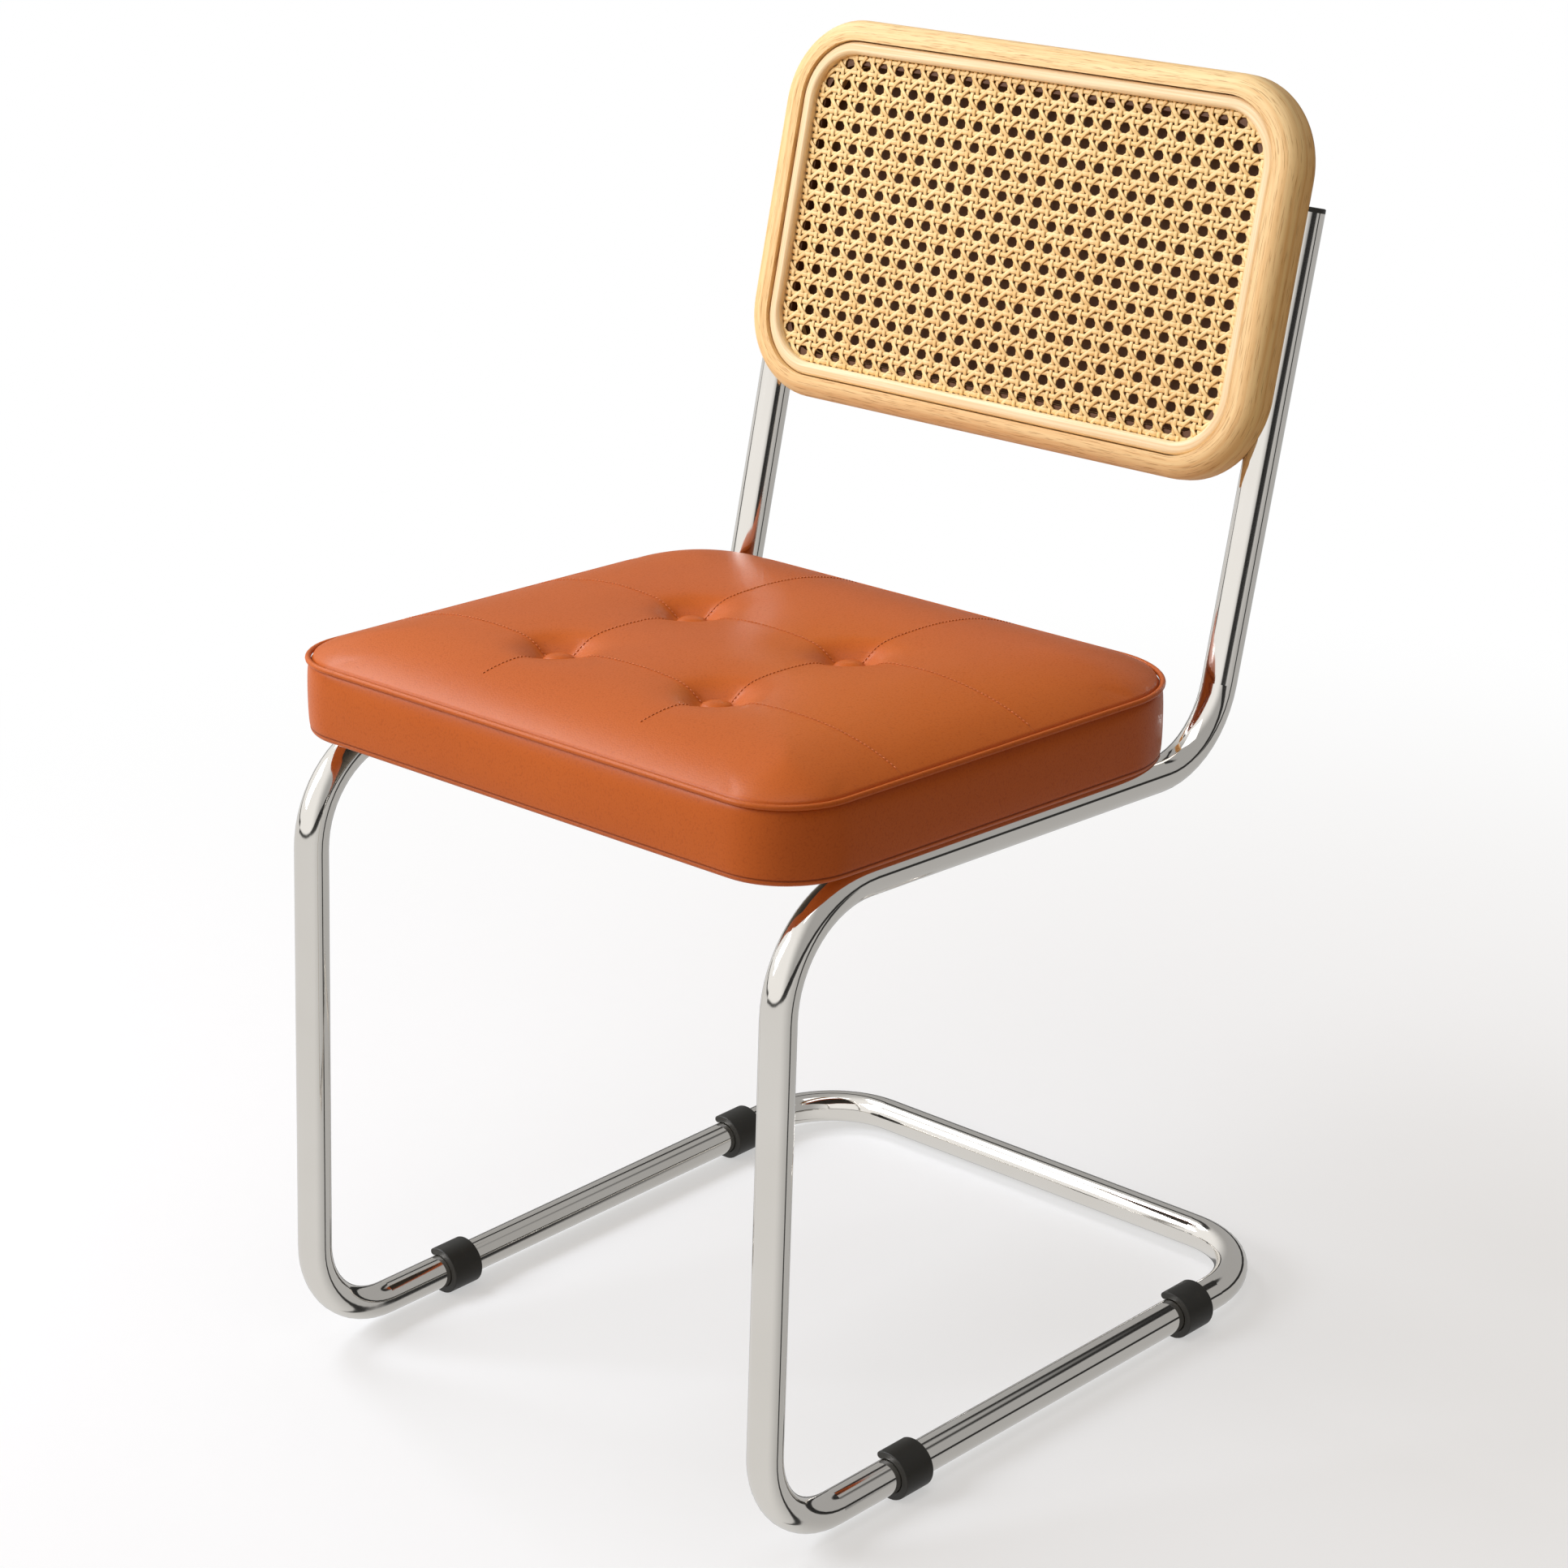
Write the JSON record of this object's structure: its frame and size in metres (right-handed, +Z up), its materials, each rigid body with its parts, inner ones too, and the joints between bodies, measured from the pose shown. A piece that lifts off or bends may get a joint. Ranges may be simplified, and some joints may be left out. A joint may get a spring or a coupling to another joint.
{
  "type": "dining chair",
  "caption": "Cantilever dining chair with a bent chrome tube frame, a cane back in a wooden frame and a buttoned tan leather box seat",
  "frame": {"origin": "On the floor, under the middle of the chair's box", "axes": "+Z up, the front of the seat faces -Y, +X to the viewer's right when looking at the front"},
  "size_m": [0.4446, 0.5254, 0.7958],
  "materials": {
    "tube_chrome": "polished",
    "beech": "satin",
    "spline_reed": "satin",
    "cane": "satin",
    "panel_stain": "matte",
    "plywood": "matte",
    "foam": "matte",
    "leather": "satin",
    "dust_cloth": "matte",
    "black_plastic": "satin",
    "zinc_steel": "satin",
    "cord": "matte"
  },
  "bodies": {
    "root": {"tube_frame": "tube_chrome", "back_frame": "beech", "cane_spline": "spline_reed", "cane_panel": "cane", "back_panel": "panel_stain", "seat_board": "plywood", "seat_foam": "foam", "seat_cover_top": "leather", "seat_cover_band": "leather", "seat_piping": "leather", "seat_dust_cover": "dust_cloth", "left_upright_plug": "black_plastic", "right_upright_plug": "black_plastic", "glide_front_left": "black_plastic", "seat_screw_front_left": "zinc_steel", "seat_tee_nut_front_left": "zinc_steel", "tuft_button_front_left": "leather", "tufting_cord_front_left": "cord", "tufting_washer_front_left": "zinc_steel", "glide_front_right": "black_plastic", "seat_screw_front_right": "zinc_steel", "seat_tee_nut_front_right": "zinc_steel", "tuft_button_front_right": "leather", "tufting_cord_front_right": "cord", "tufting_washer_front_right": "zinc_steel", "glide_rear_left": "black_plastic", "seat_screw_rear_left": "zinc_steel", "seat_tee_nut_rear_left": "zinc_steel", "tuft_button_rear_left": "leather", "tufting_cord_rear_left": "cord", "tufting_washer_rear_left": "zinc_steel", "glide_rear_right": "black_plastic", "seat_screw_rear_right": "zinc_steel", "seat_tee_nut_rear_right": "zinc_steel", "tuft_button_rear_right": "leather", "tufting_cord_rear_right": "cord", "tufting_washer_rear_right": "zinc_steel", "back_screw_lower_left": "zinc_steel", "back_insert_lower_left": "zinc_steel", "back_screw_lower_right": "zinc_steel", "back_insert_lower_right": "zinc_steel", "back_screw_upper_left": "zinc_steel", "back_insert_upper_left": "zinc_steel", "back_screw_upper_right": "zinc_steel", "back_insert_upper_right": "zinc_steel"}
  },
  "joints": []
}
